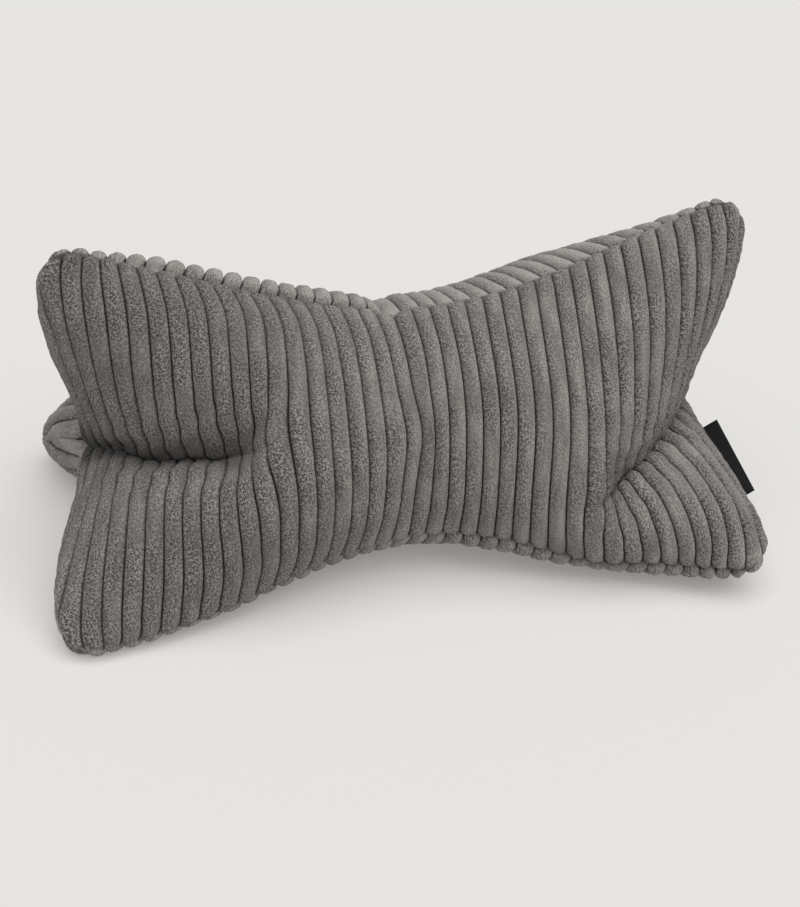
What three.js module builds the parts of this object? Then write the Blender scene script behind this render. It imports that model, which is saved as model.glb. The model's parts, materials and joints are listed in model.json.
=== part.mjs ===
// Neck pillow: three equal bone-shaped panels of wide-wale corduroy, sewn to each
// other along their whole outlines, filled with loose fibre and set down on two of
// the three lobes at each end.  A small folded woven label is caught in the end seam
// of the lobe at the lower right.
//
// Millimetres, +Z up, +X along the pillow, +Y to the rear.  The origin is on the
// surface that the pillow lies on, under the middle of its outer box.
import * as THREE from 'three';

// ---------------------------------------------------------------- sizes

// One flat panel, measured from its middle: p runs along the bone, q across it.
const PANEL = {
  halfLength: 223.6, // middle of the bone to the corners of its end
  halfWaist: 76.4,   // half the width at the waist
  halfLobe: 139.2,   // half the width over the lobes
  tipRadius: 20,     // rounding of each lobe's corner
  waistEase: 81.9,   // length over which the waist curve turns into a straight side
  endBow: 17.8,      // how far the end bows out in the middle
  endPower: 3.07,    // how flat the middle of that bow is
};

const FILL = { litres: 9.35, push: 3.0 };       // fibre inside the cloth, and how hard it presses
const CLOTH = { thickness: 6, inFold: 0.4, bendResist: 0.30, seat: 2.5, seamRise: 8 };  // base cloth with its pile; share left in a fold; flattening underneath; how far the base seams at the right stay clear
const SLACK = { acrossWales: 0.85, onBias: 0.90 };   // the wales close up, so the cloth can be squeezed across them
const GRID = { along: 56, across: 13 };        // cloth cells along a panel, and on each side of its middle line
const SETTLE = { passes: 2, damping: 0.92, weight: 0.005, grip: 0.6, topSpeed: 4 };
// The cloth is filled on a rough grid and settles again on one with half the cell.
// A tie over some cells resists bending; it is free within this many mm of a fold.
const ROUGH = { fillSteps: 150, restSteps: 220, fade: 0.5, draw: 1, ties: [{ cells: 2, free: 11 }] };
const FINE = { restSteps: 120, fade: 0.45, draw: 2.2, ties: [{ cells: 2, free: 7 }, { cells: 4, free: 13 }, { cells: 6, free: 19 }] };

// Directions of the three long seams round the pillow's axis, in degrees from +Y towards +Z.
const SEAM_DEG = [90, 330, 210];               // top, rear base, front base
// Panel k lies between seam k and the next: 0 rear, 1 base, 2 front.

// The folds between two lobes of one panel.  Each starts at the middle of an end.
const FOLDS = [
  // panel, end, reach along p, drift towards seam k, facing of the fold, dip towards seam k, draw, gap between its two sides
  { panel: 2, end: -1, reach: 123.7, drift: 4.5, faceDeg: 165.7, dipDeg: -2.4, draw: 0.035, gap: 6 },
  { panel: 2, end: 1, reach: 122.8, drift: 57.5, faceDeg: 175.2, dipDeg: 20.6, draw: 0.035, gap: 6 },
  { panel: 0, end: -1, reach: 110, drift: 0, faceDeg: 30, dipDeg: 0, draw: 0.021, gap: 6 },
  { panel: 0, end: 1, reach: 110, drift: 0, faceDeg: 30, dipDeg: 0, draw: 0.021, gap: 6 },
  { panel: 1, end: -1, reach: 110, drift: 0, faceDeg: 270, dipDeg: 0, draw: 0.021, gap: 6 },
  { panel: 1, end: 1, reach: 110, drift: 0, faceDeg: 270, dipDeg: 0, draw: 0.021, gap: 6 },
];

const LABEL = {
  seam: 2, end: 1,        // front base lobe, right end
  from: 0.27, to: 0.715,  // stretch of the end seam, from the end's middle to the lobe's tip
  proud: 8,               // how far it stands out of the seam
  leanDeg: 30,            // how far it turns up, off the pillow's length
  thickness: 1.4,         // two layers of tape
  clear: 0.6,             // kept free of the cloth
  stations: 9,
};

const COLOUR = { cloth: 0x6c6864, label: 0x141414 };

// ---------------------------------------------------------------- small helpers

const clamp = (v, lo, hi) => Math.min(hi, Math.max(lo, v));
const ease = (t) => { const c = clamp(t, 0, 1); return c * c * (3 - 2 * c); };
const rad = (deg) => deg * Math.PI / 180;
const seamDir = SEAM_DEG.map((deg) => [Math.cos(rad(deg)), Math.sin(rad(deg))]);

// ---------------------------------------------------------------- the flat panel

function makePattern(s) {
  const waist = (x) => Math.sqrt(x * x + s.waistEase ** 2) - s.waistEase;
  let tilt = 0, tipP, lean, tipQ, endQ;
  for (let turn = 0; turn < 6; turn++) {   // the tip's arc runs on into the bowed end without a corner
    tipP = s.halfLength - s.tipRadius * Math.cos(tilt);
    lean = Math.atan((s.halfLobe - s.halfWaist) / waist(tipP) * tipP / Math.hypot(tipP, s.waistEase));
    tipQ = s.halfLobe - s.tipRadius / Math.cos(lean);
    endQ = tipQ + s.tipRadius * Math.sin(tilt);
    tilt = Math.atan(s.endPower * s.endBow / endQ);
  }
  const joinP = tipP - s.tipRadius * Math.sin(lean);
  const joinQ = tipQ + s.tipRadius * Math.cos(lean);
  const cornerAt = (Math.PI / 2 + lean + tilt) / 2;
  const cornerP = tipP + s.tipRadius * Math.cos(cornerAt);
  const cornerQ = tipQ + s.tipRadius * Math.sin(cornerAt);
  const arc = (d) => Math.sqrt(Math.max(s.tipRadius ** 2 - d * d, 0));
  const side = (p) => {
    const a = Math.min(Math.abs(p), cornerP);
    return a <= joinP ? s.halfWaist + (joinQ - s.halfWaist) * waist(a) / waist(joinP) : tipQ + arc(a - tipP);
  };
  const end = (q) => {
    const a = Math.abs(q);
    return a <= endQ ? s.halfLength + s.endBow * (1 - (a / endQ) ** s.endPower) : tipP + arc(a - tipQ);
  };
  const middleEnd = end(0);
  // point of the panel for s along (-1..1) and t across (-1..1)
  const at = (along, across) => [along * end(Math.abs(across) * cornerQ), across * side(along * cornerP)];
  return { at, middleEnd };
}

// ---------------------------------------------------------------- three panels sewn together

function sew(pattern, { along, across }) {
  const rows = 2 * across + 1;
  const P = [], Q = [];
  for (let i = 0; i <= along; i++) {
    P.push([]); Q.push([]);
    for (let j = 0; j < rows; j++) {
      const [p, q] = pattern.at(-1 + 2 * i / along, -1 + j / across);
      P[i].push(p); Q[i].push(q);
    }
  }
  // a place on a seam is one and the same point of both cloths
  const ids = new Map();
  const idOf = (key) => { if (!ids.has(key)) ids.set(key, ids.size); return ids.get(key); };
  const grid = [];
  for (let k = 0; k < 3; k++) {
    grid.push([]);
    for (let i = 0; i <= along; i++) {
      grid[k].push([]);
      for (let j = 0; j < rows; j++) {
        const off = j - across, seam = off > 0 ? k : (k + 1) % 3, far = Math.abs(off) === across;
        const atEnd = i === 0 ? 0 : i === along ? 1 : -1;
        let key;
        if (atEnd >= 0) key = off === 0 ? `pole ${atEnd}` : far ? `tip ${seam} ${atEnd}` : `end ${seam} ${atEnd} ${Math.abs(off)}`;
        else key = far ? `side ${seam} ${i}` : `in ${k} ${i} ${j}`;
        grid[k][i].push(idOf(key));
      }
    }
  }
  const count = ids.size;
  const quads = [];
  for (let k = 0; k < 3; k++) for (let i = 0; i < along; i++) for (let j = 0; j < rows - 1; j++) {
    const g = grid[k];
    quads.push([g[i][j], g[i][j + 1], g[i + 1][j + 1], g[i + 1][j]]);
  }
  const triangles = [...quads.map(([a, b, c]) => [a, b, c]), ...quads.map(([a, , c, d]) => [a, c, d])];

  // pairs of points that many cells apart, with the flat length between them
  const gather = (di, dj) => {
    const found = new Map();
    for (let k = 0; k < 3; k++) for (let i = 0; i + di <= along; i++) for (let j = Math.max(-dj, 0); j + dj < rows && j < rows; j++) {
      const a = grid[k][i][j], b = grid[k][i + di][j + dj];
      const lo = Math.min(a, b), hi = Math.max(a, b), key = lo * count + hi;
      if (!found.has(key)) found.set(key, { key, a: lo, b: hi, sum: 0, n: 0, k, p: (P[i][j] + P[i + di][j + dj]) / 2, q: (Q[i][j] + Q[i + di][j + dj]) / 2 });
      const f = found.get(key);
      f.sum += Math.hypot(P[i][j] - P[i + di][j + dj], Q[i][j] - Q[i + di][j + dj]);
      f.n += 1;
    }
    const list = [...found.values()].sort((u, v) => u.key - v.key);
    for (const f of list) f.rest = f.sum / f.n;
    return list;
  };

  let cells = 0;
  for (let i = 0; i < along; i++) for (let j = 0; j < rows - 1; j++) cells += Math.abs((P[i + 1][j] - P[i][j]) * (Q[i][j + 1] - Q[i][j]));
  return { along, across, P, Q, grid, ids, count, rows, quads, triangles, gather, meanArea: 3 * cells / count };
}

// links that share no point are worked together, group by group
function inGroups(links, count) {
  const used = new Array(count).fill(0n), groups = [];
  for (const link of links) {
    const taken = used[link.a] | used[link.b];
    let g = 0;
    while ((taken >> BigInt(g)) & 1n) g++;
    used[link.a] |= 1n << BigInt(g); used[link.b] |= 1n << BigInt(g);
    (groups[g] ??= []).push(link);
  }
  return groups.flat();
}

// threads keep their flat length but for the slack, and ties resist bending away from the folds
function makeLinks(cloth, pattern, stage) {
  const threads = [], ties = [];
  for (const [di, dj, least] of [[1, 0, SLACK.acrossWales], [0, 1, 1], [1, 1, SLACK.onBias], [1, -1, SLACK.onBias]]) {
    const found = cloth.gather(di, dj);
    for (const f of found) f.least = f.rest * least;
    threads.push(...inGroups(found, cloth.count));
  }
  for (const { cells, free } of stage.ties) for (const [di, dj, least] of [[cells, 0, SLACK.acrossWales], [0, cells, 1]]) {
    const found = cloth.gather(di, dj);
    for (const f of found) {
      f.rest *= least;
      f.give = FOLDS.reduce((give, fold) => give * freedom(f, fold, pattern, free), 1);
    }
    ties.push(...inGroups(found, cloth.count));
  }
  return { threads, ties };
}

function freedom(link, fold, pattern, free) {
  const u = (pattern.middleEnd - Math.abs(link.p)) / fold.reach;
  if (link.k !== fold.panel || Math.sign(link.p) !== fold.end || u >= 1) return 1;
  const near = 1 - ease((Math.abs(link.q - fold.drift * clamp(u, 0, 1)) - free) / 10);
  return 1 - 0.98 * near * ease((1 - u) / 0.25);
}

// first form: a three-sided tube at the waist that runs out into a flat three-armed star at each end
function firstForm(cloth) {
  const { along, across } = cloth;
  const x = new Float64Array(cloth.count * 3), open = 14;
  for (let k = 0; k < 3; k++) for (const up of [0, 1]) {
    const seam = up === 0 ? k : (k + 1) % 3, other = up === 0 ? (k + 1) % 3 : k;
    const d = seamDir[seam], e = seamDir[other], dot = d[0] * e[0] + d[1] * e[1];
    const out = [e[0] - d[0] * dot, e[1] - d[1] * dot], size = Math.hypot(...out);
    for (let i = 0; i <= along; i++) {
      const h = Math.abs(cloth.Q[i][cloth.rows - 1]);
      const shut = clamp((1 - Math.abs(-1 + 2 * i / along)) * 7, 0, 1);
      for (let j = up === 0 ? across : 0; j <= (up === 0 ? 2 * across : across); j++) {
        const q = Math.abs(cloth.Q[i][j]), p = cloth.P[i][j];
        const w = ease((Math.abs(p) - 0.35 * PANEL.halfLength) / (0.65 * PANEL.halfLength));
        const f = (1 + q / h) / 2, R = h * 2 / Math.sqrt(3), puff = open * Math.sin(Math.PI * q / h) * shut;
        const id = cloth.grid[k][i][j];
        x[3 * id] = 0.97 * p;
        for (const c of [0, 1]) {
          const tube = (d[c] * f + e[c] * (1 - f)) * R, star = d[c] * q + out[c] / size * puff;
          x[3 * id + 1 + c] = tube * (1 - w) + star * w;
        }
      }
    }
  }
  return x;
}

function makeFolds(cloth, pattern, stage) {
  return FOLDS.map((f) => {
    const o = [0, Math.cos(rad(f.faceDeg)), Math.sin(rad(f.faceDeg))];
    const dk = [0, ...seamDir[f.panel]];
    const dot = dk[1] * o[1] + dk[2] * o[2];
    const side = [0, dk[1] - o[1] * dot, dk[2] - o[2] * dot], size = Math.hypot(...side);
    const dip = rad(f.dipDeg);
    const run = [-f.end * Math.cos(dip), side[1] / size * Math.sin(dip), side[2] / size * Math.sin(dip)];
    let n = new THREE.Vector3().crossVectors(new THREE.Vector3(...o), new THREE.Vector3(...run)).normalize();
    if (n.y * dk[1] + n.z * dk[2] < 0) n.negate();
    const points = [];
    for (let i = 1; i < cloth.along; i++) for (let j = 1; j < cloth.rows - 1; j++) {
      const p = cloth.P[i][j];
      if (Math.sign(p) !== f.end) continue;
      const u = (pattern.middleEnd - Math.abs(p)) / f.reach;
      const dq = cloth.Q[i][j] - f.drift * clamp(u, 0, 1), fade = clamp(1 - u, 0, 1) ** stage.fade;
      points.push({ id: cloth.grid[f.panel][i][j], sign: Math.sign(dq), need: Math.min(f.gap, 0.6 * Math.abs(dq)), fade, dq, draw: f.draw * stage.draw * Math.exp(-((dq / 7) ** 2)) * fade });
    }
    return { points, n: [n.x, n.y, n.z], o, pole: cloth.ids.get(`pole ${f.end < 0 ? 0 : 1}`) };
  });
}

function areaVectors(x, triangles, count) {
  const n = new Float64Array(count * 3);
  let volume = 0;
  for (const [a, b, c] of triangles) {
    const ax = x[3 * a], ay = x[3 * a + 1], az = x[3 * a + 2];
    const ux = x[3 * b] - ax, uy = x[3 * b + 1] - ay, uz = x[3 * b + 2] - az;
    const vx = x[3 * c] - ax, vy = x[3 * c + 1] - ay, vz = x[3 * c + 2] - az;
    const nx = (uy * vz - uz * vy) / 6, ny = (uz * vx - ux * vz) / 6, nz = (ux * vy - uy * vx) / 6;
    for (const id of [a, b, c]) { n[3 * id] += nx; n[3 * id + 1] += ny; n[3 * id + 2] += nz; }
    volume += ax * nx + ay * ny + az * nz;
  }
  return { n, volume };
}

// the cloth swells until it holds the filling, and with a floor it also settles under its weight
function settle(cloth, links, folds, x, steps, weight, floor) {
  const v = new Float64Array(x.length), target = FILL.litres * 1e6;
  for (let step = 0; step < steps; step++) {
    const { n, volume } = areaVectors(x, cloth.triangles, cloth.count);
    const push = FILL.push * clamp((target - volume) / target * 12, -1.5, 1) * 0.05 / cloth.meanArea;
    for (let c = 0; c < v.length; c++) v[c] = v[c] * SETTLE.damping + n[c] * push;
    for (let id = 0; id < cloth.count; id++) v[3 * id + 2] -= weight;
    for (const f of folds) for (const t of f.points) for (const c of [0, 1, 2]) v[3 * t.id + c] -= f.o[c] * t.draw;
    const before = x.slice();
    for (let c = 0; c < v.length; c++) x[c] += v[c];
    for (let pass = 0; pass < SETTLE.passes; pass++) {
      for (const { a, b, rest, least } of links.threads) pull(x, a, b, rest, least, 0.5);
      for (const { a, b, rest, give } of links.ties) pull(x, a, b, Infinity, rest, 0.5 * CLOTH.bendResist * give);
      for (const f of folds) {
        const px = x[3 * f.pole], py = x[3 * f.pole + 1], pz = x[3 * f.pole + 2];
        for (const t of f.points) {
          const dist = (x[3 * t.id] - px) * f.n[0] + (x[3 * t.id + 1] - py) * f.n[1] + (x[3 * t.id + 2] - pz) * f.n[2];
          const move = Math.max(t.need - dist * t.sign, 0) * t.sign * t.fade * 0.5;
          for (const c of [0, 1, 2]) x[3 * t.id + c] += f.n[c] * move;
        }
      }
      if (floor !== null) for (let id = 0; id < cloth.count; id++) if (x[3 * id + 2] < floor[id]) {
        x[3 * id + 2] = floor[id];
        for (const c of [0, 1]) x[3 * id + c] = before[3 * id + c] * SETTLE.grip + x[3 * id + c] * (1 - SETTLE.grip);
      }
    }
    for (let id = 0; id < cloth.count; id++) {
      const d = [0, 1, 2].map((c) => x[3 * id + c] - before[3 * id + c]), speed = Math.hypot(...d);
      const cap = speed > SETTLE.topSpeed ? SETTLE.topSpeed / speed : 1;
      for (const c of [0, 1, 2]) v[3 * id + c] = d[c] * cap;
    }
  }
  return x;
}

function pull(x, a, b, most, least, share) {
  const dx = x[3 * b] - x[3 * a], dy = x[3 * b + 1] - x[3 * a + 1], dz = x[3 * b + 2] - x[3 * a + 2];
  const length = Math.sqrt(dx * dx + dy * dy + dz * dz) + 1e-9;
  const f = (length - clamp(length, least, most)) / length * share;
  x[3 * a] += dx * f; x[3 * a + 1] += dy * f; x[3 * a + 2] += dz * f;
  x[3 * b] -= dx * f; x[3 * b + 1] -= dy * f; x[3 * b + 2] -= dz * f;
}

// the same cloth on a grid with half the cell; new points lie on smooth curves through the old ones
function finer(from, x, to) {
  const sum = new Float64Array(to.count * 3), n = new Float64Array(to.count);
  const mix = (terms) => [0, 1, 2].map((c) => terms.reduce((s, [w, t]) => s + w * t[c], 0));
  const halve = (line) => {
    const m = line.length;
    const before = mix([[3, line[0]], [-3, line[1]], [1, line[2]]]), after = mix([[3, line[m - 1]], [-3, line[m - 2]], [1, line[m - 3]]]);
    const at = (i) => i < 0 ? before : i >= m ? after : line[i];
    return line.flatMap((t, i) => i === m - 1 ? [t] : [t, mix([[-1 / 16, at(i - 1)], [9 / 16, t], [9 / 16, at(i + 1)], [-1 / 16, at(i + 2)]])]);
  };
  for (let k = 0; k < 3; k++) {
    const wide = from.grid[k].map((column) => halve(column.map((id) => Array.from(x.slice(3 * id, 3 * id + 3)))));
    for (let j = 0; j < to.rows; j++) halve(wide.map((column) => column[j])).forEach((t, i) => {
      const id = to.grid[k][i][j];
      n[id] += 1;
      for (const c of [0, 1, 2]) sum[3 * id + c] += t[c];
    });
  }
  return sum.map((s, c) => s / n[Math.floor(c / 3)]);
}

// how low each point can lie: at the right the base seams stay clear, on the ends of the wales
function floorUnder(cloth) {
  const floor = new Float64Array(cloth.count).fill(CLOTH.thickness), last = cloth.rows - 1;
  for (const [k, j] of [[0, 0], [1, last], [1, 0], [2, last]]) for (let i = 0; i <= cloth.along; i++) {
    floor[cloth.grid[k][i][j]] += CLOTH.seamRise * ease((cloth.P[i][j] + 20) / 60);
  }
  return floor;
}

function drop(x, to) {
  let low = Infinity;
  for (let c = 2; c < x.length; c += 3) low = Math.min(low, x[c]);
  for (let c = 2; c < x.length; c += 3) x[c] += to - low;
}

// ---------------------------------------------------------------- the filled pillow

const pattern = makePattern(PANEL);
const cloth = sew(pattern, GRID);
const roughLinks = makeLinks(cloth, pattern, ROUGH), roughFolds = makeFolds(cloth, pattern, ROUGH);
const rough = firstForm(cloth);
settle(cloth, roughLinks, roughFolds, rough, ROUGH.fillSteps, 0, null);
drop(rough, CLOTH.thickness);
settle(cloth, roughLinks, roughFolds, rough, ROUGH.restSteps, SETTLE.weight, floorUnder(cloth));

const fine = sew(pattern, { along: 2 * GRID.along, across: 2 * GRID.across });
const fineFolds = makeFolds(fine, pattern, FINE);
const base = finer(cloth, rough, fine);
settle(fine, makeLinks(fine, pattern, FINE), fineFolds, base, FINE.restSteps, SETTLE.weight, floorUnder(fine));

// the outer face of the cloth, thinner where it is pressed together in a fold
const { n: faceNormals } = areaVectors(base, fine.triangles, fine.count);
const thick = new Float64Array(fine.count).fill(CLOTH.thickness);
for (const f of fineFolds) for (const t of f.points) thick[t.id] *= 1 - (1 - CLOTH.inFold) * Math.exp(-((t.dq / 8) ** 2)) * t.fade;

// every second point of the fine grid makes the solid, flattened a little where it lies
const skin = new Float64Array(cloth.count * 3);
const outward = [];
for (let k = 0; k < 3; k++) for (let i = 0; i <= cloth.along; i++) for (let j = 0; j < cloth.rows; j++) {
  const id = cloth.grid[k][i][j], from = fine.grid[k][2 * i][2 * j];
  const n = [0, 1, 2].map((c) => faceNormals[3 * from + c]), size = Math.hypot(...n);
  outward[id] = n.map((c) => c / size);
  for (const c of [0, 1, 2]) skin[3 * id + c] = base[3 * from + c] + n[c] / size * thick[from];
}
drop(skin, -CLOTH.seat);
for (let c = 2; c < skin.length; c += 3) skin[c] = Math.max(skin[c], 0);

// ---------------------------------------------------------------- the label

// a flat folded tape whose inner edge follows the end seam
function labelPoints() {
  const seam = [];
  for (let j = 0; j <= GRID.across; j++) {
    const key = j === 0 ? `pole ${LABEL.end}` : j === GRID.across ? `tip ${LABEL.seam} ${LABEL.end}` : `end ${LABEL.seam} ${LABEL.end} ${j}`;
    const id = cloth.ids.get(key);
    seam.push({ at: new THREE.Vector3(...skin.slice(3 * id, 3 * id + 3)), out: new THREE.Vector3(...outward[id]) });
  }
  const along = (f) => {
    const s = f * GRID.across, j = Math.min(Math.floor(s), GRID.across - 1), w = s - j;
    return { at: seam[j].at.clone().lerp(seam[j + 1].at, w), out: seam[j].out.clone().lerp(seam[j + 1].out, w).normalize() };
  };
  const first = along(LABEL.from), last = along(LABEL.to), chord = last.at.clone().sub(first.at).normalize();
  const out = new THREE.Vector3(LABEL.end * Math.cos(rad(LABEL.leanDeg)), 0, Math.sin(rad(LABEL.leanDeg)));
  out.addScaledVector(chord, -out.dot(chord)).normalize();
  const across = new THREE.Vector3().crossVectors(chord, out);
  const rim = Math.max(...[0, 0.25, 0.5, 0.75, 1].map((t) => along(LABEL.from + (LABEL.to - LABEL.from) * t).at.clone().sub(first.at).dot(out)));
  const points = [];
  for (let s = 0; s < LABEL.stations; s++) {
    const t = s / (LABEL.stations - 1), here = along(LABEL.from + (LABEL.to - LABEL.from) * t).at;
    const inner = here.clone().addScaledVector(out, LABEL.clear);
    const outer = here.clone().addScaledVector(out, rim + LABEL.proud - here.clone().sub(first.at).dot(out));
    for (const [edge, lift] of [[inner, -0.5], [outer, -0.5], [outer, 0.5], [inner, 0.5]]) points.push(edge.clone().addScaledVector(across, lift * LABEL.thickness));
  }
  return points;
}

// ---------------------------------------------------------------- solids

function solid(points, triangles) {
  const g = new THREE.BufferGeometry();
  g.setAttribute('position', new THREE.Float32BufferAttribute(points, 3));
  g.setIndex(triangles.flat());
  g.computeVertexNormals();
  return g;
}

const tape = labelPoints();
const tapeFaces = [];
for (let s = 0; s < LABEL.stations - 1; s++) for (let e = 0; e < 4; e++) {
  const a = 4 * s + e, b = 4 * s + (e + 1) % 4;
  tapeFaces.push([a, b, b + 4], [a, b + 4, a + 4]);
}
const close = 4 * (LABEL.stations - 1);
tapeFaces.push([0, 3, 2], [0, 2, 1], [close, close + 1, close + 2], [close, close + 2, close + 3]);
// faces are turned outwards
const tapeVolume = tapeFaces.reduce((sum, [a, b, c]) => sum + tape[a].dot(new THREE.Vector3().crossVectors(tape[b], tape[c])), 0);
const tapeOut = tapeVolume > 0 ? tapeFaces : tapeFaces.map(([a, b, c]) => [a, c, b]);

// each cell is split along its shorter diagonal
const gapOf = (a, b) => Math.hypot(skin[3 * a] - skin[3 * b], skin[3 * a + 1] - skin[3 * b + 1], skin[3 * a + 2] - skin[3 * b + 2]);
const skinFaces = cloth.quads.flatMap(([a, b, c, d]) => gapOf(a, c) <= gapOf(b, d) ? [[a, b, c], [a, c, d]] : [[a, b, d], [b, c, d]]);

const body = new THREE.Mesh(
  solid(Array.from(skin), skinFaces),
  new THREE.MeshStandardMaterial({ color: COLOUR.cloth, roughness: 0.95, metalness: 0 }),
);
body.name = 'pillow_body';

const label = new THREE.Mesh(
  solid(tape.flatMap((t) => t.toArray()), tapeOut),
  new THREE.MeshStandardMaterial({ color: COLOUR.label, roughness: 0.8, metalness: 0 }),
);
label.name = 'side_label';

const pillow = new THREE.Group();
pillow.name = 'neck_pillow';
pillow.add(body, label);
const box = new THREE.Box3().setFromObject(pillow);
pillow.position.set(-(box.min.x + box.max.x) / 2, -(box.min.y + box.max.y) / 2, 0);
pillow.updateMatrixWorld(true);

export default pillow;
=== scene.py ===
"""Neck pillow in wide-wale corduroy: three bone-shaped panels sewn along their whole
outlines, filled with loose fibre and lying on two of the three lobes at each end, with a
plain woven label in the end seam of the lobe at the lower right."""
import json
import math

import bpy
import numpy as np
from mathutils import Matrix, Vector

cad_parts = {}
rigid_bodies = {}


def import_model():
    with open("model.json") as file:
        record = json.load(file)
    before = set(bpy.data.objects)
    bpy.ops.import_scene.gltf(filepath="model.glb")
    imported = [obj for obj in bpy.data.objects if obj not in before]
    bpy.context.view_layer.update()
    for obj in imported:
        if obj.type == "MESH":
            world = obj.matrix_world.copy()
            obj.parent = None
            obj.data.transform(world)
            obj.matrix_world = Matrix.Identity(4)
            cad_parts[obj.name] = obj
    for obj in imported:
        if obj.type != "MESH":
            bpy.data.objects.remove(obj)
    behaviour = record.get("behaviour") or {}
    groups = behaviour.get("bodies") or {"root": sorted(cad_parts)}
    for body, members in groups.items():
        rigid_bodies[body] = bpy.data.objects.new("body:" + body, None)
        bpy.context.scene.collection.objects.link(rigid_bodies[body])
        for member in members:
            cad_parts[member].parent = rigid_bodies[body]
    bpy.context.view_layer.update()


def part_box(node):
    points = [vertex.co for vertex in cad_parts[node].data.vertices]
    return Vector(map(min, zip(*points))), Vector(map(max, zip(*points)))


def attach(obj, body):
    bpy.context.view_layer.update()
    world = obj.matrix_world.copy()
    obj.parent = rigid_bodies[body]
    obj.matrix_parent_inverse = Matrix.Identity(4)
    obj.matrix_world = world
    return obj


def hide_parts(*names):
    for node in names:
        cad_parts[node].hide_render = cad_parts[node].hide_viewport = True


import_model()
MM = 0.001

# ------------------------------------------------------------------ sizes, in millimetres

PANEL = dict(half_length=223.6, half_waist=76.4, half_lobe=139.2, tip_radius=20.0, waist_ease=81.9, end_bow=17.8, end_power=3.07)
CLOTH = dict(thickness=6.0, seat=2.5, seam_rise=8.0)
SEAM_DEG = (90.0, 330.0, 210.0)      # top, rear base, front base; panels: 0 rear, 1 base, 2 front
FOLDS = [
    # panel, end, reach, drift, facing, dip, draw, gap
    (2, -1, 123.7, 4.5, 165.7, -2.4, 0.035, 6),
    (2, 1, 122.8, 57.5, 175.2, 20.6, 0.035, 6),
    (0, -1, 110, 0, 30, 0, 0.021, 6),
    (0, 1, 110, 0, 30, 0, 0.021, 6),
    (1, -1, 110, 0, 270, 0, 0.021, 6),
    (1, 1, 110, 0, 270, 0, 0.021, 6),
]
SETTLE = dict(litres=9.35, push=3.0, damping=0.92, grip=0.6, weight=0.005, slack_p=0.85, slack_d=0.90)
ROUGH = dict(along=56, across=13, fill_steps=150, rest_steps=220, bend=0.30, fade=0.5, draw=1.0, spans=[(2, 11.0)])
FINE = dict(along=112, across=26, rest_steps=120, bend=0.30, fade=0.45, draw=2.2, spans=[(2, 7.0), (4, 13.0), (6, 19.0)])

WALE = dict(pitch=11.3, phase=(8.475, 5.65, 2.825), valley=1.9, ridge=6.6, end_round=1.8, samples=8, crowd=0.62, overhang=2.4)
COVER = dict(straight_p=198.0, end_columns=36, rows=46, seam_rows=9, seam_share=0.075)
LABEL = dict(seam=2, end=1, start=0.27, stop=0.675, proud=12.5, slant=3.5, root=3.0, tape=0.42, lean_deg=30.0)

CAMERA = dict(azimuth=-15.38, elevation=29.87, distance=972.96, focal_px=1478.27, target=(-1.25, -22.82, 65.23), roll=3.22)
FRAME_PX = (800, 907)


# ------------------------------------------------------------------ the flat panel and its cloth

def smooth(t):
    t = np.clip(t, 0.0, 1.0)
    return t * t * (3 - 2 * t)


class Panel:
    """One flat bone: p runs along it and q across it, both from its middle."""

    def __init__(self, half_length, half_waist, half_lobe, tip_radius, waist_ease, end_bow, end_power):
        self.length, self.radius, self.bow, self.power, self.narrow = half_length, tip_radius, end_bow, end_power, half_waist
        self.waist = lambda x: np.sqrt(x * x + waist_ease ** 2) - waist_ease
        tilt = 0.0
        for _ in range(6):      # the tip's arc runs on into the bowed end without a corner
            self.tip_p = half_length - tip_radius * np.cos(tilt)
            lean = np.arctan((half_lobe - half_waist) / self.waist(self.tip_p) * self.tip_p / np.hypot(self.tip_p, waist_ease))
            self.tip_q = half_lobe - tip_radius / np.cos(lean)
            self.end_q = self.tip_q + tip_radius * np.sin(tilt)
            tilt = np.arctan(end_power * end_bow / self.end_q)
        self.join_p = self.tip_p - tip_radius * np.sin(lean)
        self.join_q = self.tip_q + tip_radius * np.cos(lean)
        at = (np.pi / 2 + lean + tilt) / 2
        self.corner_p = self.tip_p + tip_radius * np.cos(at)
        self.corner_q = self.tip_q + tip_radius * np.sin(at)
        self.middle_end = half_length + end_bow

    def side(self, p):
        a = np.minimum(np.abs(p), self.corner_p)
        arc = self.tip_q + np.sqrt(np.maximum(self.radius ** 2 - (a - self.tip_p) ** 2, 0))
        return np.where(a <= self.join_p, self.narrow + (self.join_q - self.narrow) * self.waist(a) / self.waist(self.join_p), arc)

    def end(self, q):
        a = np.abs(q)
        arc = self.tip_p + np.sqrt(np.maximum(self.radius ** 2 - (a - self.tip_q) ** 2, 0))
        return np.where(a <= self.end_q, self.length + self.bow * (1 - (a / self.end_q) ** self.power), arc)

    def at(self, along, across):
        return along * self.end(np.abs(across) * self.corner_q), across * self.side(along * self.corner_p)


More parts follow.
